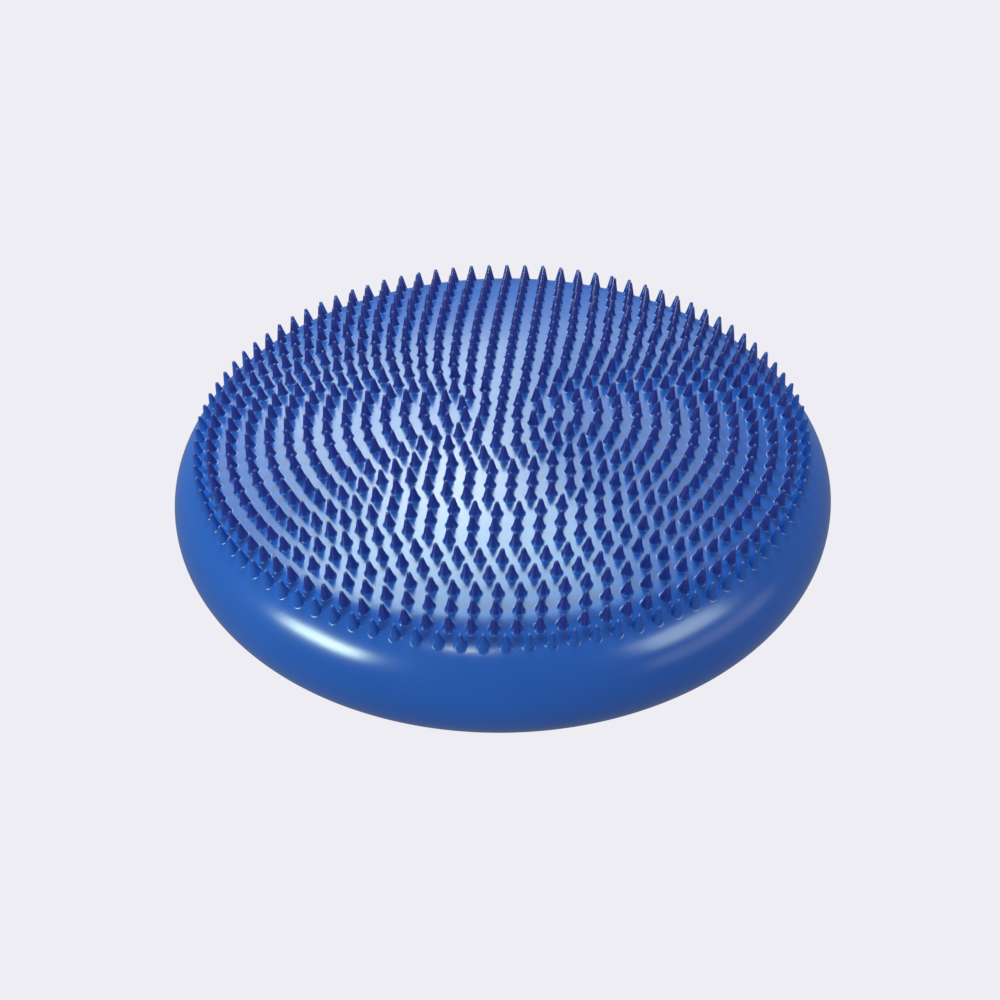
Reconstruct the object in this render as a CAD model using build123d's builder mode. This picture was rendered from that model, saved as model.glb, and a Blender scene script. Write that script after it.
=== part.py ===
"""Inflatable balance cushion (air-filled wobble disc) with tall massage spikes.

Millimetres, +Z up. The origin is the centre of the flat patch that the cushion
rests on, and +Y points at the air valve. The soft skin is one moulding on the real
object. Here it is three rings of that skin, the sole, the rim and the tread, so
that the tread can sink and the rim can rock on the sole as the air gives.
"""
import os
from math import atan2, cos, radians, sin, sqrt

from build123d import *

os.makedirs("parts", exist_ok=True)

# ---- driving dimensions ----
disc_radius = 165.0  # widest point of the rim
skin_height = 76.0  # floor to the middle of the tread, without the spikes
equator_height = 30.8  # height of the widest point
crown_radius = 718.0  # sphere that the tread is part of
lower_rim_radius = 28.8  # section of the rim below its widest point
sole_patch_radius = 100.0  # flat patch on the floor
wall = 3.0  # skin thickness

tread_edge = 138.3  # where the tread ends and the rim begins
sole_edge = 152.6  # where the rim ends and the sole begins
edge_gap = 0.3  # clearance all round both edges

ring_pitch = 9.55  # radial distance from one ring of spikes to the next
full_pitch_rings = 15  # rings at the full pitch, counted from the middle
outer_ring_radius = 150.2  # the last ring stands on the turn of the shoulder
outer_ring_turn = 0.34  # degrees, and the other rings have a spike straight over the valve
spikes_per_step = 6  # ring k has k times this many spikes
uneven_rings = {4: 1, 8: -1, 9: -1, 10: -1, 12: -1, 16: -1}  # spikes more or fewer than that
spike_height = 8.2
spike_base_radius = 2.7
spike_tip_radius = 0.95
spike_root = 1.4  # how far a spike's root is sunk into the wall
seam_turns = (0, 20, 70)  # degrees that the seam of a spike's cone may be turned by

groove_radii = [107.0 + 6.0 * n for n in range(5)]  # grip grooves under the sole
groove_depth = 0.9
groove_half_width = 1.5

valve_hole_radius = 6.0
seat_depth = 13.0  # length of the seat, from the skin's outer face inwards
seat_flange_radius = 10.0
seat_flange_thickness = 2.0
seat_bore_radius = 3.2
plug_stem_radius = seat_bore_radius - 0.05
plug_stem_length = 10.5
plug_head_radius = 4.9
plug_head_thickness = 1.4
plug_seat_clearance = 0.3
valve_recess = 1.2  # how far the seat's outer face lies inside the rim's widest point

# ---- worked out from the above ----
crown_centre = skin_height - crown_radius
depth = skin_height - equator_height
# the upper rim is the circle that is upright at the widest point and meets the crown in a smooth line
upper_rim_radius = (crown_radius**2 - disc_radius**2 - (crown_radius - depth) ** 2) / (
    2 * (crown_radius - disc_radius)
)
upper_rim_centre = disc_radius - upper_rim_radius
crown_end_angle = atan2(upper_rim_centre, equator_height - crown_centre)
lower_rim_centre = disc_radius - lower_rim_radius
# the sole's outer arc is level at the flat patch and meets the lower rim in a smooth line
sole_reach = lower_rim_centre - sole_patch_radius
sole_radius = (sole_reach**2 + equator_height**2 - lower_rim_radius**2) / (
    2 * (equator_height - lower_rim_radius)
)
sole_end_angle = atan2(sole_reach, sole_radius - equator_height)


def on_circle(centre_r, centre_z, radius, angle_from_up):
    """Point of the half section on a circle, its angle measured from straight up, outwards."""
    return (centre_r + radius * sin(angle_from_up), centre_z + radius * cos(angle_from_up))


def half_section(inset):
    """Closed half section of the cushion, inset by a distance, as one BuildLine."""
    top = on_circle(0, crown_centre, crown_radius - inset, 0)
    crown_mid = on_circle(0, crown_centre, crown_radius - inset, crown_end_angle / 2)
    crown_end = on_circle(0, crown_centre, crown_radius - inset, crown_end_angle)
    upper_mid = on_circle(
        upper_rim_centre, equator_height, upper_rim_radius - inset, (crown_end_angle + radians(90)) / 2
    )
    widest = (disc_radius - inset, equator_height)
    lower_end_angle = radians(180) - sole_end_angle
    lower_mid = on_circle(
        lower_rim_centre, equator_height, lower_rim_radius - inset, (radians(90) + lower_end_angle) / 2
    )
    lower_end = on_circle(lower_rim_centre, equator_height, lower_rim_radius - inset, lower_end_angle)
    sole_mid = on_circle(
        sole_patch_radius, sole_radius, sole_radius - inset, radians(180) - sole_end_angle / 2
    )
    patch_end = (sole_patch_radius, inset)
    with BuildLine() as outline:
        ThreePointArc(top, crown_mid, crown_end)
        ThreePointArc(crown_end, upper_mid, widest)
        ThreePointArc(widest, lower_mid, lower_end)
        ThreePointArc(lower_end, sole_mid, patch_end)
        Line(patch_end, (0, inset))
        Line((0, inset), top)
    return outline.line


def skin_section(inner, outer, low, high, outside=0.0, inside=wall):
    """Half section of the skin between two radii, two heights and two depths in the wall."""
    with BuildSketch(Plane.XZ) as section:
        with BuildLine():
            add(half_section(outside))
        make_face()
        with BuildLine():
            add(half_section(inside))
        make_face(mode=Mode.SUBTRACT)
        with Locations(((inner + outer) / 2, (low + high) / 2)):
            Rectangle(outer - inner, high - low, mode=Mode.INTERSECT)
    return section.sketch


def spike_section(base_height):
    """Half section of one spike with a rounded tip, its root a little below the base."""
    spread = (spike_base_radius - spike_tip_radius) / (spike_height - spike_tip_radius)
    root = (spike_base_radius + spread * spike_root, base_height - spike_root)
    shoulder = (spike_tip_radius, base_height + spike_height - spike_tip_radius)
    tip = (0, base_height + spike_height)
    with BuildSketch(Plane.XZ) as section:
        with BuildLine():
            Line((0, root[1]), root)
            Line(root, shoulder)
            RadiusArc(shoulder, tip, -spike_tip_radius)
            Line(tip, (0, root[1]))
        make_face()
    return section.sketch


def surface_height(radius):
    """Height of the outer skin over the upper half at a distance from the middle."""
    if radius <= crown_radius * sin(crown_end_angle):
        return crown_centre + sqrt(crown_radius**2 - radius**2)
    return equator_height + sqrt(upper_rim_radius**2 - (radius - upper_rim_centre) ** 2)


def ring_places(ring):
    """Planes for one ring of spikes, each square to the crown's sphere."""
    outer = ring > full_pitch_rings
    radius = outer_ring_radius if outer else ring * ring_pitch
    start = 90 + outer_ring_turn if outer else 90
    lean = atan2(radius, crown_radius)
    count = spikes_per_step * ring + uneven_rings.get(ring, 0)
    seam_side = -1 if radius < tread_edge else 1
    places = []
    for number in range(count):
        angle = radians(start + number * 360 / count)
        out = Vector(cos(angle), sin(angle), 0)
        tangent = Vector(-sin(angle), cos(angle), 0)
        places.append(
            Plane(
                origin=out * radius + Vector(0, 0, surface_height(radius)),
                x_dir=tangent * seam_side,
                z_dir=out * sin(lean) + Vector(0, 0, cos(lean)),
            )
        )
    return places


with BuildPart() as spike_builder:
    add(spike_section(0))
    revolve(axis=Axis.Z)
spike = spike_builder.part


def stand_spikes(skin, ring):
    """Fuses one ring of spikes to the skin, and turns the seam of any spike that the kernel drops."""
    missing = ring_places(ring)
    for seam in seam_turns:
        with Locations(*[place.rotated((0, 0, seam)) for place in missing]):
            add(spike)
        tips = [face.center() for face in skin.faces().filter_by(GeomType.SPHERE)]
        missing = [
            place
            for place in missing
            if all((tip - place.origin - place.z_dir * spike_height).length > spike_base_radius for tip in tips)
        ]
        if not missing:
            return
    raise ValueError(f"{len(missing)} spikes of ring {ring} are missing")


rings = range(1, full_pitch_rings + 2)
tread_rings = [ring for ring in rings if ring * ring_pitch < tread_edge]
rim_rings = [ring for ring in rings if ring not in tread_rings]

# ---- tread: the domed top with most of the spikes, the middle one turned with it ----
with BuildPart() as tread_skin:
    with BuildSketch(Plane.XZ):
        add(skin_section(0, tread_edge, equator_height, skin_height + 1))
        add(spike_section(skin_height))
    revolve(axis=Axis.Z)
    for ring in tread_rings:
        stand_spikes(tread_skin, ring)
tread_skin.part.label = "tread_skin"
export_step(tread_skin.part, "parts/tread_skin.step")

# ---- rim: the bulged side wall, with the two outer rings of spikes and the valve hole ----
# the valve's axis runs along Y at the height of the widest point, and its depth is measured inwards
seat_face = disc_radius - valve_recess
skin_inside = disc_radius - wall
valve_plane = Plane(origin=(0, seat_face, equator_height), x_dir=(1, 0, 0), z_dir=(0, -1, 0))
with BuildPart() as rim_skin:
    with BuildSketch(Plane.XZ):
        add(skin_section(tread_edge + edge_gap, disc_radius + 1, equator_height, skin_height))
        add(skin_section(sole_edge + edge_gap, disc_radius + 1, 0, equator_height))
    revolve(axis=Axis.Z)
    for ring in rim_rings:
        stand_spikes(rim_skin, ring)
    with BuildSketch(valve_plane):
        Circle(valve_hole_radius)
    extrude(amount=2 * wall, both=True, mode=Mode.SUBTRACT)
rim_skin.part.label = "rim_skin"
export_step(rim_skin.part, "parts/rim_skin.step")

# ---- sole: the flat underside with its grip grooves ----
with BuildPart() as sole_skin:
    with BuildSketch(Plane.XZ):
        add(skin_section(0, sole_edge, 0, equator_height))
    revolve(axis=Axis.Z)
    with BuildSketch(Plane.XZ):
        for radius in groove_radii:
            rise = sole_radius - sqrt(sole_radius**2 - (radius - sole_patch_radius) ** 2)
            with Locations((radius, rise)):
                Ellipse(groove_half_width, groove_depth)
    revolve(axis=Axis.Z, mode=Mode.SUBTRACT)
sole_skin.part.label = "sole_skin"
export_step(sole_skin.part, "parts/sole_skin.step")

# ---- valve seat: a tube bonded into the hole, with a flange against the skin's inner face ----
flange_outside = wall + 0.05  # clear of the skin by the thickness of the bond
with BuildPart() as valve_seat:
    with BuildSketch(Plane.XZ):
        add(
            skin_section(
                skin_inside - 3 * seat_flange_thickness,
                disc_radius,
                equator_height - seat_flange_radius,
                equator_height + seat_flange_radius,
                flange_outside,
                flange_outside + seat_flange_thickness,
            )
        )
    revolve(axis=Axis.Z)
    with BuildSketch(valve_plane):
        Circle(seat_flange_radius)
    extrude(amount=seat_depth, mode=Mode.INTERSECT)
    with BuildSketch(valve_plane):
        Circle(valve_hole_radius)
    extrude(amount=seat_depth)
    with BuildSketch(valve_plane):
        Circle(plug_head_radius + plug_seat_clearance)
    extrude(amount=plug_head_thickness, mode=Mode.SUBTRACT)
    with BuildSketch(valve_plane):
        Circle(seat_bore_radius)
    extrude(amount=seat_depth, mode=Mode.SUBTRACT)
valve_seat.part.label = "valve_seat"
export_step(valve_seat.part, "parts/valve_seat.step")

# ---- valve plug: a push-in stopper with a flat head ----
with BuildPart() as valve_plug:
    with BuildSketch(valve_plane):
        Circle(plug_head_radius)
    extrude(amount=plug_head_thickness)
    with BuildSketch(valve_plane):
        Circle(plug_stem_radius)
    extrude(amount=plug_head_thickness + plug_stem_length)
valve_plug.part.label = "valve_plug"
export_step(valve_plug.part, "parts/valve_plug.step")
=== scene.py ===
import math

import bpy
import numpy as np
from mathutils import Matrix, Vector
from mathutils.geometry import delaunay_2d_cdt


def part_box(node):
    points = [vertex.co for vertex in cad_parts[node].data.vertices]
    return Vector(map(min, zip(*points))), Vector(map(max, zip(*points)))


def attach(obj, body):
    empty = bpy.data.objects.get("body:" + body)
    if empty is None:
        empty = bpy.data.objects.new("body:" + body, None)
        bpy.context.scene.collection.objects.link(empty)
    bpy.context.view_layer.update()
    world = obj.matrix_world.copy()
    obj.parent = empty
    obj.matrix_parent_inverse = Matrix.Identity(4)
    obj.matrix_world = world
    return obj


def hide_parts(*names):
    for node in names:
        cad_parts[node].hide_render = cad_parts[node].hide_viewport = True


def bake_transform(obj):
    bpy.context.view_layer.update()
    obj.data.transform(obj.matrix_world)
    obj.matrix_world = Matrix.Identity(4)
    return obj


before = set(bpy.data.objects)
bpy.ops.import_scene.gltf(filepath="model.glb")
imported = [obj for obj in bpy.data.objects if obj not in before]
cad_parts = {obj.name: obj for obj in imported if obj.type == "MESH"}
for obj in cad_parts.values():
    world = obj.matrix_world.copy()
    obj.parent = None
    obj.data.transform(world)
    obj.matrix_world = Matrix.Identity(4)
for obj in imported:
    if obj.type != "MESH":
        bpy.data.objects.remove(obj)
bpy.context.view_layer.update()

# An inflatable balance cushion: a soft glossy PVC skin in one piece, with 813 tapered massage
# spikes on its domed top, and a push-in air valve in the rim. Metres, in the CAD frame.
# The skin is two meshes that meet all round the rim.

MM = 0.001
rng = np.random.default_rng(7)

# ---- sizes: what the frame gives, and the driving dimensions that the CAD part is made from ----
SPIKE_HEIGHT = 8.2 * MM
SPIKE_BASE_R = 2.7 * MM
SPIKE_TIP_R = 0.95 * MM
SPIKE_FILLET = 0.65 * MM  # where a spike flows into the skin
DISC_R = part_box("rim_skin")[1].x
SKIN_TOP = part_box("tread_skin")[1].z - SPIKE_HEIGHT
VALVE_LOW, VALVE_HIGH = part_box("valve_plug")
EQUATOR_Z = (VALVE_LOW.z + VALVE_HIGH.z) / 2
CROWN_R = 718 * MM
LOWER_RIM_R = 28.8 * MM
PATCH_R = 100 * MM  # the flat patch underneath that it stands on
MEET_Z = 38 * MM  # height at which the two skin meshes meet, clear above the valve
SEGMENTS = 384  # round the rim
ALL_ROUND = np.linspace(0, math.tau, SEGMENTS, endpoint=False)

RING_PITCH = 9.55 * MM
FULL_PITCH_RINGS = 15
OUTER_RING_R = 150.2 * MM
OUTER_RING_TURN = 0.34  # degrees; the other rings have a spike straight over the valve
SPIKES_PER_STEP = 6  # ring k has k times this many spikes
UNEVEN_RINGS = {4: 1, 8: -1, 9: -1, 10: -1, 12: -1, 16: -1}  # spikes more or fewer than that

# ---- the skin's half section, as the CAD part works it out ----
CROWN_Z = SKIN_TOP - CROWN_R
UPPER_RIM_R = (CROWN_R**2 - DISC_R**2 - (EQUATOR_Z - CROWN_Z) ** 2) / (2 * (CROWN_R - DISC_R))
UPPER_RIM_C = DISC_R - UPPER_RIM_R
MEET_ANGLE = math.acos((MEET_Z - EQUATOR_Z) / UPPER_RIM_R)
CROWN_END_R = CROWN_R * math.sin(math.atan2(UPPER_RIM_C, EQUATOR_Z - CROWN_Z))
LOWER_RIM_C = DISC_R - LOWER_RIM_R
SOLE_REACH = LOWER_RIM_C - PATCH_R
SOLE_R = (SOLE_REACH**2 + EQUATOR_Z**2 - LOWER_RIM_R**2) / (2 * (EQUATOR_Z - LOWER_RIM_R))
SOLE_END = math.atan2(SOLE_REACH, SOLE_R - EQUATOR_Z)


def top_surface(radius):
    """Height and outward normal (radial and up) of the skin over its upper half."""
    radius = np.asarray(radius, float)
    on_crown = radius <= CROWN_END_R
    reach = np.where(on_crown, radius, radius - UPPER_RIM_C)
    bend = np.where(on_crown, CROWN_R, UPPER_RIM_R)
    rise = np.sqrt(np.maximum(bend**2 - reach**2, 1e-12))
    return np.where(on_crown, CROWN_Z, EQUATOR_Z) + rise, reach / bend, rise / bend


def arc(centre_r, centre_z, radius, start, end, steps):
    """Points and normals (r, z, normal r, normal z) along an arc, angles measured from straight up."""
    angles = np.linspace(start, end, steps + 1)
    out, up = np.sin(angles), np.cos(angles)
    return np.stack([centre_r + radius * out, centre_z + radius * up, out, up], 1)


# ---- mesh helpers ----
SAME_PLACE = 1e-9  # points nearer than this are one


def link_new(name, data):
    """A new object of the mesh, light or camera data, in the scene."""
    thing = bpy.data.objects.new(name, data)
    bpy.context.scene.collection.objects.link(thing)
    return thing


class Shell:
    """Collects vertices, their normals and faces, and makes one smooth mesh of them."""

    def __init__(self):
        self.points, self.normals, self.rise, self.faces, self.count = [], [], [], [], 0

    def add(self, points, normals, rise=0.0):
        """Adds vertices and returns their indices, in the shape of the array that came in.

        rise is 0 on the skin and goes to 1 at a spike's tip, for the material's painted shade on the
        spikes.
        """
        points, normals = np.asarray(points, float), np.asarray(normals, float)
        flat = points.reshape(-1, 3)
        self.points.append(flat)
        self.rise.append(np.broadcast_to(rise, points.shape[:-1]).ravel())
        self.normals.append(normals.reshape(-1, 3))
        first = self.count
        self.count += len(flat)
        return np.arange(first, self.count).reshape(points.shape[:-1])

    def strip(self, inner, outer, closed=True):
        """Quads between two rows of indices, counter-clockwise from the inner row's side."""
        if closed:
            inner_next, outer_next = np.roll(inner, -1, -1), np.roll(outer, -1, -1)
        else:
            inner_next, outer_next = inner[..., 1:], outer[..., 1:]
            inner, outer = inner[..., :-1], outer[..., :-1]
        quads = np.stack([inner, outer, outer_next, inner_next], -1).reshape(-1, 4)
        self.faces.extend(quads.tolist())

    def fan(self, ring, tip):
        """Triangles from each ring of indices to its tip."""
        tips = np.broadcast_to(np.asarray(tip)[..., None], ring.shape)
        self.faces.extend(np.stack([ring, np.roll(ring, -1, -1), tips], -1).reshape(-1, 3).tolist())

    def fill(self, flat, indices, loops, outline):
        """Fills a convex flat region round its holes, which are the loops.

        flat holds the 2-D places of the indices, and the loops and the outline number them.
        """
        edges = []
        for loop in [*loops, outline]:
            edges += list(zip(loop.tolist(), np.roll(loop, -1).tolist()))
        _, _, triangles, origin, _, _ = delaunay_2d_cdt(
            [Vector(p) for p in flat.tolist()], edges, [], 0, SAME_PLACE
        )
        hole_of = np.full(len(flat), -1)
        for number, loop in enumerate(loops):
            hole_of[loop] = number
        source = [o[0] if o else -1 for o in origin]
        for triangle in triangles:
            corners = [source[v] for v in triangle]
            holes = {int(hole_of[c]) for c in corners}
            if len(holes) == 1 and -1 not in holes:
                continue
            self.faces.append([int(indices[c]) for c in corners])

    def build(self, name):
        """The smooth mesh as an object in the scene."""
        mesh = bpy.data.meshes.new(name)
        mesh.from_pydata(np.concatenate(self.points).tolist(), [], self.faces)
        mesh.polygons.foreach_set("use_smooth", np.ones(len(mesh.polygons), bool))
        normals = np.concatenate(self.normals)
        normals /= np.linalg.norm(normals, axis=1)[:, None]
        mesh.normals_split_custom_set_from_vertices(normals.tolist())
        rise = mesh.attributes.new("rise", "FLOAT", "POINT")
        rise.data.foreach_set("value", np.concatenate(self.rise).astype(np.float32))
        return link_new(name, mesh)


def turned(profile, angles):
    """Points and normals of a half section (r, z, nr, nz) turned to each of the angles about Z."""
    c, s = np.cos(angles), np.sin(angles)
    r, z, nr, nz = (profile[:, n][:, None] for n in range(4))
    ones = np.ones_like(c)
    return np.stack([r * c, r * s, z * ones], -1), np.stack([nr * c, nr * s, nz * ones], -1)


def lathe(name, profile, segments=64):
    """A closed profile of (radius, distance out along +Y) turned about the valve's axis."""
    r, y = np.array(profile, float).T
    # run clockwise in (radius, distance), so the faces look outwards
    if np.sum(r * np.roll(y, -1) - np.roll(r, -1) * y) > 0:
        r, y = r[::-1], y[::-1]
    angles = np.linspace(0, math.tau, segments, endpoint=False)
    points = np.stack(
        [
            r[:, None] * np.cos(angles),
            y[:, None] * np.ones(segments),
            EQUATOR_Z + r[:, None] * np.sin(angles),
        ],
        -1,
    )
    faces = []
    rows = len(profile)
    for row in range(rows):
        here, there = row * segments, (row + 1) % rows * segments
        for n in range(segments):
            m = (n + 1) % segments
            faces.append([here + n, here + m, there + m, there + n])
    mesh = bpy.data.meshes.new(name)
    mesh.from_pydata(points.reshape(-1, 3).tolist(), [], faces)
    mesh.polygons.foreach_set("use_smooth", np.ones(len(faces), bool))
    return link_new(name, mesh)


# ---- upper skin: domed tread, shoulder and spikes in one welded mesh ----
SPIKE_SIDES = 16
FILLET_STEPS = 4
CONE_SHARES = (0.36, 0.7, 1.0)  # how far up the straight cone its rows of points stand
TIP_STEPS = 4
FOOT_SEARCH = 4 * MM  # a cone meets the skin within this of its foot
HALVINGS = 40
BEND = 0.16 * MM  # how far a tip leans over, one standard deviation
SHORTENING = 0.008  # and how much shorter a spike comes out of the mould
MOST_SHORTENED = 0.02
OUTER_SHADE_RISE = 0.11  # the outermost ring gets only a little of the spikes' painted shade, so it stays nearly as pale as the skin
SHOULDER_MARGIN = 5.8 * MM  # from the outermost ring to where the shoulder's rows begin
SHOULDER_STEPS = 12


def spike_places():
    """Foot, axis and ring number of every spike."""
    feet, axes, numbers = [], [], []
    for ring in range(FULL_PITCH_RINGS + 2):
        outer = ring > FULL_PITCH_RINGS
        radius = OUTER_RING_R if outer else ring * RING_PITCH
        start = 90 + OUTER_RING_TURN if outer else 90
        lean = math.atan2(radius, CROWN_R)
        count = max(1, SPIKES_PER_STEP * ring + UNEVEN_RINGS.get(ring, 0))
        for number in range(count):
            angle = math.radians(start + number * 360 / count)
            out = np.array([math.cos(angle), math.sin(angle), 0])
            feet.append(out * radius + np.array([0, 0, float(top_surface(radius)[0])]))
            axes.append(out * math.sin(lean) + np.array([0, 0, math.cos(lean)]))
            numbers.append(ring)
    return np.array(feet), np.array(axes), np.array(numbers)


def add_spikes(shell):
    """Adds every spike to the shell, and returns the indices of the loops round their feet."""
    feet, axes, rings = spike_places()
    count = len(feet)
    # the rise drives the painted shade on the spikes; the outermost ring gets little of it
    rise_rate = np.where(rings > FULL_PITCH_RINGS, OUTER_SHADE_RISE, 1.0)[:, None] / SPIKE_HEIGHT
    tip_centre = SPIKE_HEIGHT - SPIKE_TIP_R
    # the cone is tangent to its round tip
    slant = math.atan2(SPIKE_BASE_R, tip_centre) - math.asin(
        SPIKE_TIP_R / math.hypot(SPIKE_BASE_R, tip_centre)
    )
    taper = math.tan(slant)
    turn = np.linspace(0, math.tau, SPIKE_SIDES, endpoint=False)
    side = np.cross(axes, [0, 1, 0])
    side /= np.linalg.norm(side, axis=1)[:, None]
    fore = np.cross(axes, side)
    # counter-clockwise seen from above
    cos_turn, sin_turn = np.cos(turn)[None, :, None], np.sin(turn)[None, :, None]
    around = side[:, None, :] * cos_turn + fore[:, None, :] * sin_turn
    foot, axis = feet[:, None, :], axes[:, None, :]
    # soft spikes never stand quite straight, so each bends a little its own way
    bend_way = rng.normal(0, BEND, (count, 2))
    stretch = rng.normal(0, SHORTENING, count)[:, None, None].clip(-MOST_SHORTENED, 0.0)

    def on_cone(height):
        return foot + axis * height[..., None] + around * (SPIKE_BASE_R - taper * height)[..., None]

    def bent(points, height):
        share = (height / SPIKE_HEIGHT).clip(0, 1) ** 2
        moved = points.copy()
        moved[..., :2] += bend_way[:, None, :] * share[..., None]
        moved += stretch * axis * height[..., None]
        return moved

    # where each side of the cone meets the skin
    high = np.full((count, SPIKE_SIDES), FOOT_SEARCH)
    low = -high
    for _ in range(HALVINGS):
        middle = (low + high) / 2
        p = on_cone(middle)
        above = p[..., 2] > top_surface(np.hypot(p[..., 0], p[..., 1]))[0]
        high, low = np.where(above, middle, high), np.where(above, low, middle)
    meets = on_cone(high)
    flat_way = around[..., :2] / np.linalg.norm(around[..., :2], axis=-1)[..., None]
    rim_xy = meets[..., :2] + flat_way * SPIKE_FILLET
    reach = np.linalg.norm(rim_xy, axis=-1)
    z, nr, nz = top_surface(reach)
    start = np.concatenate([rim_xy, z[..., None]], -1)
    start_normal = np.concatenate([(nr / reach)[..., None] * rim_xy, nz[..., None]], -1)
    cone_normal = around * math.cos(slant) + axis * math.sin(slant)
    end_height = high + SPIKE_FILLET
    end = on_cone(end_height)

    loops = last = shell.add(start, start_normal)

    def next_row(points, normals, height, up):
        """Adds a row of points round every spike, joined to the row below it."""
        row = shell.add(bent(points, height), normals, up)
        shell.strip(last[:, ::-1], row[:, ::-1])
        return row

    for step in range(1, FILLET_STEPS + 1):
        t = step / FILLET_STEPS
        p = (1 - t) ** 2 * start + 2 * t * (1 - t) * meets + t**2 * end
        n = (1 - t) * start_normal + t * cone_normal
        last = next_row(p, n, high + t * SPIKE_FILLET, rise_rate * t * SPIKE_FILLET)
    tangent_height = tip_centre + SPIKE_TIP_R * math.sin(slant)
    for t in CONE_SHARES:
        height = end_height + (tangent_height - end_height) * t
        last = next_row(on_cone(height), cone_normal, height, rise_rate * height)
    for lift in np.linspace(slant, math.pi / 2, TIP_STEPS + 1)[1:-1]:
        n = around * math.cos(lift) + axis * math.sin(lift)
        height = np.full((count, SPIKE_SIDES), tip_centre + SPIKE_TIP_R * math.sin(lift))
        tip_points = foot + axis * tip_centre + n * SPIKE_TIP_R
        last = next_row(tip_points, n, height, rise_rate * height)
    full = np.full((count, 1), SPIKE_HEIGHT)
    tips = shell.add(bent(foot + axis * SPIKE_HEIGHT, full), axis, rise_rate * full)
    shell.fan(last, tips[:, 0])
    return loops


def make_upper_skin():
    """The tread, its spikes and the shoulder, down to the meeting line."""
    shell = Shell()
    loops = add_spikes(shell)
    # the shoulder, from just outside the last ring of spikes down to where the lower skin meets it
    fill_edge = math.asin((OUTER_RING_R + SHOULDER_MARGIN - UPPER_RIM_C) / UPPER_RIM_R)
    profile = arc(UPPER_RIM_C, EQUATOR_Z, UPPER_RIM_R, fill_edge, MEET_ANGLE, SHOULDER_STEPS)
    rows = shell.add(*turned(profile, ALL_ROUND))
    for inner, outer in zip(rows[:-1], rows[1:]):
        shell.strip(inner, outer)
    everything = np.concatenate(shell.points)
    used = np.concatenate([loops.ravel(), rows[0]])
    local = np.full(len(everything), -1)
    local[used] = np.arange(len(used))
    shell.fill(everything[used][:, :2], used, [local[loop] for loop in loops], local[rows[0]])
    return shell.build("upper_skin")


# ---- lower skin: the rim below the meeting line, the valve hole and the underside ----
ABOVE_STEPS = 4  # rows of faces between the meeting line and the rim's widest point
BELOW_STEPS = 26  # and from there down to the sole
GROOVE_RADII = [(107 + 6 * n) * MM for n in range(5)]
GROOVE_DEPTH = 0.9 * MM
GROOVE_HALF = 1.7 * MM  # half its width
GROOVED_ROW = 0.4 * MM  # between rows of points where the grooves are
PATCH_ROWS = 14
PATCH_HUB_R = 8 * MM  # inside this the patch is a fan to the middle

VALVE_HOLE_R = 6.0 * MM
VALVE_LIP = 0.6 * MM  # radius of the hole's rounded edge
VALVE_HOOP_R = VALVE_HOLE_R + 1.5 * VALVE_LIP  # a ring of points round the edge, on the skin
VALVE_WALL = 3 * MM  # how deep the hole's wall goes
VALVE_SIDES = 48
LIP_STEPS = 5
HOOP_CLEARANCE = 0.8 * MM  # grid points nearer to the hoop than this are left out
VALVE_COLUMN = SEGMENTS // 4  # straight back, +Y
WINDOW_COLUMNS = np.arange(VALVE_COLUMN - 5, VALVE_COLUMN + 6)
WINDOW_ROWS = np.arange(13)


def sole_profile():
    """The underside from the lower rim's end to the middle, with its grip grooves."""
    outer_r = PATCH_R + SOLE_R * math.sin(SOLE_END)
    radii = np.concatenate(
        [
            np.arange(outer_r, PATCH_R, -GROOVED_ROW)[1:],
            np.linspace(PATCH_R, PATCH_HUB_R, PATCH_ROWS),
        ]
    )
    heights = np.where(
        radii > PATCH_R, SOLE_R - np.sqrt(SOLE_R**2 - (radii - PATCH_R).clip(0) ** 2), 0.0
    )
    for groove in GROOVE_RADII:
        near = np.abs(radii - groove) < GROOVE_HALF
        wave = 0.5 + 0.5 * np.cos(math.pi * (radii - groove) / GROOVE_HALF)
        heights = heights + np.where(near, wave * GROOVE_DEPTH, 0.0)
    slope = np.gradient(heights, radii)
    length = np.hypot(slope, 1)
    return np.stack([radii, heights, slope / length, -1 / length], 1)


def rim_radius(z):
    """Distance of the rim's face from the middle at a height, and its normal (radial and up)."""
    bend = np.where(z >= EQUATOR_Z, UPPER_RIM_R, LOWER_RIM_R)
    centre = DISC_R - bend
    up = (z - EQUATOR_Z) / bend
    out = np.sqrt(1 - up**2)
    return centre + bend * out, out, up


def make_lower_skin():
    """The rim below the meeting line, with the valve's hole, and the underside."""
    shell = Shell()
    above = arc(UPPER_RIM_C, EQUATOR_Z, UPPER_RIM_R, MEET_ANGLE, math.pi / 2, ABOVE_STEPS)
    below = arc(
        LOWER_RIM_C, EQUATOR_Z, LOWER_RIM_R, math.pi / 2, math.pi - SOLE_END, BELOW_STEPS
    )[1:]
    profile = np.concatenate([above, below, sole_profile()])
    rows = shell.add(*turned(profile, ALL_ROUND))
    # a window in the grid at the back leaves room for the valve's hole
    keep = np.arange(WINDOW_COLUMNS[-1], SEGMENTS + WINDOW_COLUMNS[0] + 1) % SEGMENTS
    for number, (upper, lower) in enumerate(zip(rows[:-1], rows[1:])):
        if number < WINDOW_ROWS[-1]:
            shell.strip(upper[keep], lower[keep], closed=False)
        else:
            shell.strip(upper, lower)
    middle = shell.add([[0, 0, 0]], [[0, 0, -1]])
    # seen from below, so the ring runs the other way
    shell.fan(rows[-1][::-1], middle[0])
    add_valve_hole(shell, rows)
    return shell.build("lower_skin")


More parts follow.
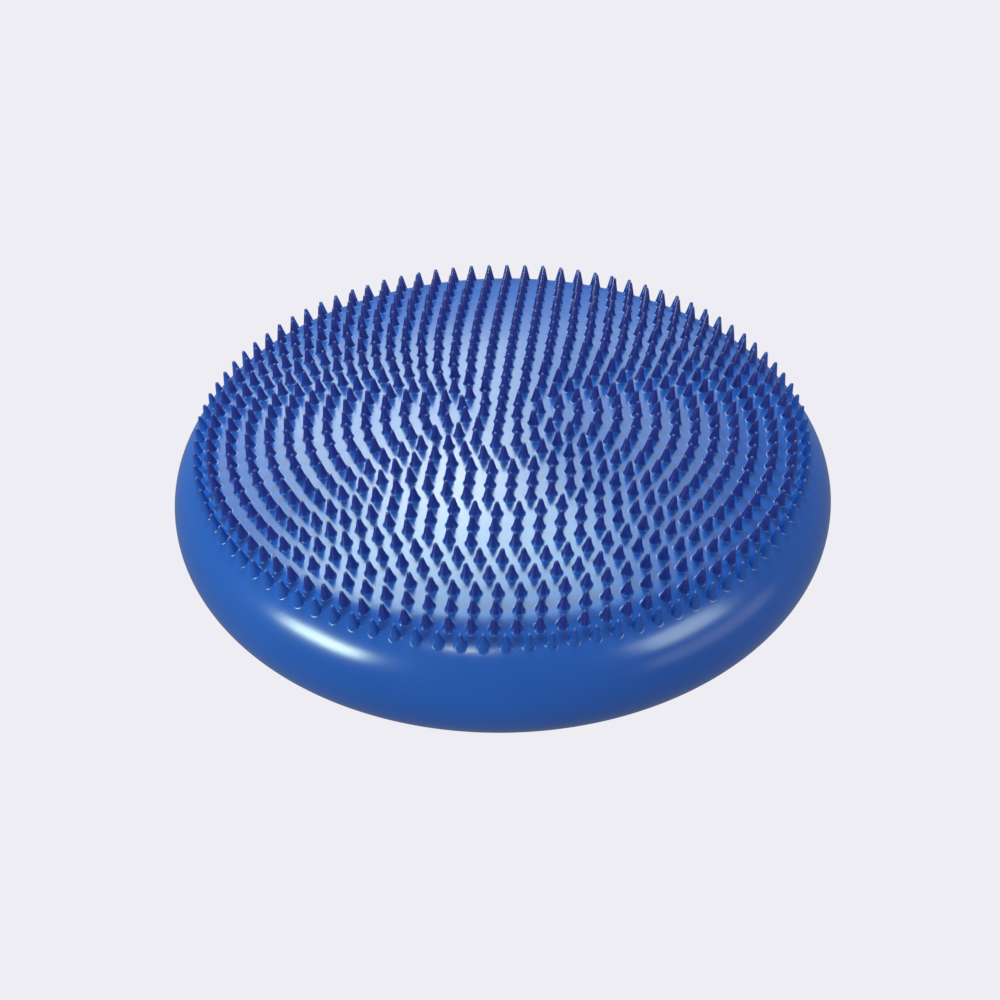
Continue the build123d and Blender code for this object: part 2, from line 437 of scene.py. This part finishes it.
def add_valve_hole(shell, rows):
    """Fills the window round the valve with the rim's own curve and a rounded lip into the hole."""
    # the turn runs clockwise in (x, z), which is counter-clockwise seen from behind
    turn = np.linspace(math.tau, 0, VALVE_SIDES, endpoint=False)

    def ring_at(radius, sunk, lean):
        """A ring round the valve at a radius, sunk below the rim's face, its normal leaning inwards."""
        x, z = radius * np.cos(turn), EQUATOR_Z + radius * np.sin(turn)
        r, out, up = rim_radius(z)
        y = np.sqrt(r**2 - x**2)
        face = np.stack([out * x / r, out * y / r, up], -1)
        inward = np.stack([-np.cos(turn), 0 * turn, -np.sin(turn)], -1)
        return np.stack([x, y - sunk, z], -1), face * math.cos(lean) + inward * math.sin(lean)

    lip, hoop = (
        shell.add(*ring_at(radius, 0, 0)) for radius in (VALVE_HOLE_R + VALVE_LIP, VALVE_HOOP_R)
    )
    last = lip
    for step in range(1, LIP_STEPS + 1):
        lean = step / LIP_STEPS * math.pi / 2
        radius = VALVE_HOLE_R + VALVE_LIP * (1 - math.sin(lean))
        row = shell.add(*ring_at(radius, VALVE_LIP * (1 - math.cos(lean)), lean))
        shell.strip(row, last)
        last = row
    wall_end = shell.add(*ring_at(VALVE_HOLE_R, VALVE_WALL, math.pi / 2))
    shell.strip(wall_end, last)
    shell.strip(lip, hoop)
    # the window's own border and its grid points outside the hoop, laid flat as seen from behind
    grid = rows[np.ix_(WINDOW_ROWS, WINDOW_COLUMNS)]
    border = np.concatenate([grid[0, ::-1], grid[1:, 0], grid[-1, 1:], grid[-2:0:-1, -1]])
    inside = grid[1:-1, 1:-1].ravel()
    places = np.concatenate(shell.points)
    away = np.hypot(places[inside, 0], places[inside, 2] - EQUATOR_Z)
    used = np.concatenate([hoop, border, inside[away > VALVE_HOOP_R + HOOP_CLEARANCE]])
    flat = places[used][:, [0, 2]] * [-1, 1]
    order = np.arange(len(used))
    shell.fill(flat, used, [order[: len(hoop)]], order[len(hoop) : len(hoop) + len(border)])


# ---- the air valve ----
SEAT_FACE_Y = VALVE_HIGH.y


def make_valve_seat():
    """The flanged tube bonded into the hole: a rolled lip, a recess for the plug's head, the bore."""
    face, inner = SEAT_FACE_Y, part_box("valve_seat")[0].y
    lip_r, recess_r, bore_r, depth = 5.95 * MM, 5.25 * MM, 3.2 * MM, 1.4 * MM
    flange_r, flange_out, flange_in = 9.9 * MM, face - 4.4 * MM, face - 6.4 * MM
    edge = 0.25 * MM
    round_off = 0.3 * edge  # the middle of a rounded edge stands this far from its corner
    profile = [
        (lip_r, face - edge),
        (lip_r - round_off, face - round_off),
        (lip_r - edge, face),
        (recess_r + edge, face),
        (recess_r + round_off, face - round_off),
        (recess_r, face - edge),
        (recess_r, face - depth + edge),
        (recess_r - edge, face - depth),
        (bore_r + edge, face - depth),
        (bore_r, face - depth - edge),
        (bore_r, inner + edge),
        (bore_r + edge, inner),
        (lip_r - edge, inner),
        (lip_r, inner + edge),
        (lip_r, flange_in),
        (flange_r - edge, flange_in),
        (flange_r, flange_in + edge),
        (flange_r, flange_out - edge),
        (flange_r - edge, flange_out),
        (lip_r, flange_out),
    ]
    return lathe("valve_seat_moulded", profile)


def make_valve_plug():
    """The push-in stopper: a dished head with rounded edges, and a ribbed, tapered stem."""
    face, tip = SEAT_FACE_Y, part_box("valve_plug")[0].y
    head_r, stem_r, head = 4.9 * MM, 3.12 * MM, 1.35 * MM
    pole, dish, dish_r = 0.02 * MM, 0.35 * MM, 3.3 * MM
    waist, tip_length, ribs = 0.35 * MM, 1.2 * MM, 3
    profile = [
        (pole, face - dish),
        (1.6 * MM, face - 0.33 * MM),
        (2.6 * MM, face - 0.15 * MM),
        (dish_r, face),
        (head_r - 0.5 * MM, face),
        (head_r - 0.15 * MM, face - 0.12 * MM),
        (head_r, face - 0.45 * MM),
        (head_r, face - head + 0.3 * MM),
        (head_r - 0.25 * MM, face - head),
        (stem_r, face - head),
    ]
    start = face - head
    rib_pitch = (start - tip - 2 * tip_length) / ribs
    for rib in range(ribs):
        top = start - rib * rib_pitch
        profile += [
            (stem_r - waist, top - 0.3 * rib_pitch),
            (stem_r - waist, top - 0.5 * rib_pitch),
            (stem_r, top - 0.75 * rib_pitch),
            (stem_r, top - 0.95 * rib_pitch),
        ]
    profile += [
        (stem_r - 0.5 * MM, tip + tip_length),
        (stem_r - 1.0 * MM, tip + 0.4 * MM),
        (stem_r - 1.5 * MM, tip),
        (pole, tip),
    ]
    return lathe("valve_plug_moulded", profile)


# ---- materials ----
MIX_FACTOR, MIX_A, MIX_B, MIX_COLOUR = 0, 6, 7, 2  # the Mix node's sockets for colours
PVC_IOR = 1.75  # above real PVC's 1.53, to lift its highlights to the photograph's


def new_material(name):
    """A material, its nodes and links, its shader, and a texture place that rides with the mesh."""
    material = bpy.data.materials.new(name)
    material.use_nodes = True
    nodes, links = material.node_tree.nodes, material.node_tree.links
    place = nodes.new("ShaderNodeTexCoord").outputs["Object"]
    return material, nodes, links, nodes["Principled BSDF"], place


def noise(nodes, links, place, scale, detail=3.0):
    """A cloudy value between 0 and 1. scale is in waves per metre."""
    node = nodes.new("ShaderNodeTexNoise")
    node.inputs["Scale"].default_value = scale
    node.inputs["Detail"].default_value = detail
    links.new(place, node.inputs["Vector"])
    return node.outputs["Fac"]


def ramp(nodes, links, source, low, high):
    """Colours between two (place, colour) stops."""
    node = nodes.new("ShaderNodeValToRGB")
    for element, (place, colour) in zip(node.color_ramp.elements, (low, high)):
        element.position, element.color = place, (*colour, 1)
    links.new(source, node.inputs["Fac"])
    return node.outputs["Color"]


def bump(nodes, links, height, strength, distance, under=None):
    """A normal from a height, on top of another bump's normal if there is one."""
    node = nodes.new("ShaderNodeBump")
    node.inputs["Strength"].default_value = strength
    node.inputs["Distance"].default_value = distance
    links.new(height, node.inputs["Height"])
    if under:
        links.new(under, node.inputs["Normal"])
    return node.outputs["Normal"]


def skin_material():
    """Glossy soft PVC: a slightly cloudy blue, with the faint orange peel of a moulded skin, and
    painted shade that darkens the spikes to navy.
    """
    material, nodes, links, shader, place = new_material("blue_pvc")
    cloud = noise(nodes, links, place, 14.0)
    blue = ramp(nodes, links, cloud, (0.30, (0.008, 0.105, 0.530)), (0.70, (0.011, 0.122, 0.590)))
    # painted shade: the spikes are coloured a deeper navy than the skin they stand on, though their
    # plastic is the same
    rise = nodes.new("ShaderNodeAttribute")
    rise.attribute_name = "rise"
    spike_shade_share = ramp(nodes, links, rise.outputs["Fac"], (0.02, (0, 0, 0)), (0.22, (1, 1, 1)))
    tint = nodes.new("ShaderNodeMix")
    tint.data_type = "RGBA"
    links.new(spike_shade_share, tint.inputs[MIX_FACTOR])
    links.new(blue, tint.inputs[MIX_A])
    tint.inputs[MIX_B].default_value = (0.026, 0.040, 0.290, 1)
    links.new(tint.outputs[MIX_COLOUR], shader.inputs["Base Color"])
    smear = noise(nodes, links, place, 40.0)
    rough = ramp(nodes, links, smear, (0.3, (0.20, 0.20, 0.20)), (0.7, (0.25, 0.25, 0.25)))
    links.new(rough, shader.inputs["Roughness"])
    waves = bump(nodes, links, noise(nodes, links, place, 45.0, 1.0), 0.25, 0.4 * MM)
    peel = bump(nodes, links, noise(nodes, links, place, 700.0, 2.0), 0.25, 0.03 * MM, waves)
    links.new(peel, shader.inputs["Normal"])
    shader.inputs["IOR"].default_value = PVC_IOR
    return material


def grained_material(name, grain, dark, light, strength, roughness):
    """A small moulded part: two near colours in a fine grain that stands out a little."""
    material, nodes, links, shader, place = new_material(name)
    speckle = noise(nodes, links, place, grain)
    colour = ramp(nodes, links, speckle, (0.35, dark), (0.65, light))
    links.new(colour, shader.inputs["Base Color"])
    links.new(bump(nodes, links, speckle, strength, 0.03 * MM), shader.inputs["Normal"])
    shader.inputs["Roughness"].default_value = roughness
    return material


# ---- stage: floor, light and camera ----
FLOOR_HALF = 6.0
BOX_DISTANCE = 1.5


def make_floor():
    """A pale flat floor that glows evenly, and can be seen through from below."""
    material, nodes, links, shader, _ = new_material("pale_floor")
    nodes.remove(shader)
    glow = nodes.new("ShaderNodeEmission")
    glow.inputs["Color"].default_value = (0.8550, 0.8470, 0.8963, 1)
    clear = nodes.new("ShaderNodeBsdfTransparent")
    facing = nodes.new("ShaderNodeNewGeometry")
    mix = nodes.new("ShaderNodeMixShader")
    links.new(facing.outputs["Backfacing"], mix.inputs["Fac"])
    links.new(glow.outputs["Emission"], mix.inputs[1])
    links.new(clear.outputs["BSDF"], mix.inputs[2])
    links.new(mix.outputs["Shader"], nodes["Material Output"].inputs["Surface"])
    mesh = bpy.data.meshes.new("floor")
    corners = [(-1, -1), (1, -1), (1, 1), (-1, 1)]
    mesh.from_pydata([(x * FLOOR_HALF, y * FLOOR_HALF, 0) for x, y in corners], [], [(0, 1, 2, 3)])
    mesh.materials.append(material)
    floor = link_new("floor", mesh)
    # the floor neither shows in the glossy rim nor lights it
    floor.visible_glossy = False
    floor.visible_diffuse = False


def soft_box(name, azimuth, elevation, half_width, half_height, radiance, tint):
    """A soft box in a direction from the cushion. Its half sizes are in degrees seen from there.

    Azimuth 0 is the front (-Y) and 90 the right (+X).
    """
    a, e = math.radians(azimuth), math.radians(elevation)
    way = Vector((math.sin(a) * math.cos(e), -math.cos(a) * math.cos(e), math.sin(e)))
    width, height = (
        2 * BOX_DISTANCE * math.tan(math.radians(half)) for half in (half_width, half_height)
    )
    data = bpy.data.lights.new(name, "AREA")
    data.shape = "RECTANGLE"
    data.size, data.size_y = width, height
    data.energy = radiance * math.pi * width * height
    data.color = tint
    light = link_new(name, data)
    light.location = way * BOX_DISTANCE
    light.rotation_euler = way.to_track_quat("Z", "Y").to_euler()


def make_lights():
    """Soft boxes where the photograph's highlights and bright gaps mirror them, and dim sky."""
    world = bpy.data.worlds.new("studio")
    world.use_nodes = True
    sky = world.node_tree.nodes["Background"]
    sky.inputs["Color"].default_value = (0.80, 0.90, 1.0, 1)
    sky.inputs["Strength"].default_value = 0.26
    bpy.context.scene.world = world
    soft_box("back_core", -165, 49, 6, 6, 5, (0.98, 1.0, 0.86))
    soft_box("back_main", -163, 44, 12, 18, 3.0, (0.86, 1.0, 0.84))
    soft_box("back_wide", -165, 43, 27, 22, 1.4, (0.86, 1.0, 0.90))
    soft_box("back_high", -163, 62, 17, 8, 4.4, (0.72, 1.0, 0.90))
    soft_box("back_low", 178, 20, 24, 8, 0.2, (0.9, 1.0, 0.95))
    soft_box("left_box", -51, 21, 12.5, 6, 17, (0.78, 1.0, 0.84))
    soft_box("right_box", 64, 29, 13, 9, 4, (0.84, 1.0, 0.94))
    soft_box("right_low", 70, 2, 22, 7, 0.7, (1.0, 0.95, 0.95))
    soft_box("front_spot", -11, 58.5, 3.5, 1.4, 30, (0.95, 1.0, 0.9))


def make_camera():
    """The camera stands in front, a little to the right, and looks down at the cushion."""
    elevation, azimuth, roll = (math.radians(angle) for angle in (38.8, 5.93, -0.94))
    distance, aside, aim_z = 0.9546, -1.37 * MM, 18.9 * MM
    sensor, focal_ratio = 36.0, 1.864
    back = Vector(
        (
            math.sin(azimuth) * math.cos(elevation),
            -math.cos(azimuth) * math.cos(elevation),
            math.sin(elevation),
        )
    )
    right = Vector((math.cos(azimuth), math.sin(azimuth), 0))
    up = back.cross(right)
    aim = right * aside + Vector((0, 0, aim_z))
    x_axis = right * math.cos(roll) + up * math.sin(roll)
    y_axis = up * math.cos(roll) - right * math.sin(roll)
    data = bpy.data.cameras.new("camera")
    data.sensor_width = sensor
    data.lens = focal_ratio * sensor
    camera = link_new("camera", data)
    pose = Matrix((x_axis, y_axis, back)).transposed().to_4x4()
    pose.translation = aim + back * distance
    camera.matrix_world = pose
    bpy.context.scene.camera = camera


# ---- put together ----
make_camera()
make_lights()
make_floor()
bpy.context.scene.view_settings.view_transform = "Standard"

upper_skin = make_upper_skin()
lower_skin = make_lower_skin()
blue = skin_material()
for skin in (upper_skin, lower_skin):
    skin.data.materials.append(blue)
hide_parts("tread_skin", "rim_skin")
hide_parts("sole_skin")
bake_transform(upper_skin)
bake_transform(lower_skin)

seat = make_valve_seat()
seat.data.materials.append(
    grained_material("seat_pvc", 600.0, (0.008, 0.055, 0.25), (0.012, 0.07, 0.30), 0.2, 0.45)
)
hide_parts("valve_seat")
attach(seat, "rim")

plug = make_valve_plug()
plug.data.materials.append(
    grained_material("white_plug", 500.0, (0.70, 0.71, 0.72), (0.78, 0.79, 0.80), 0.15, 0.38)
)
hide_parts("valve_plug")
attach(plug, "plug")
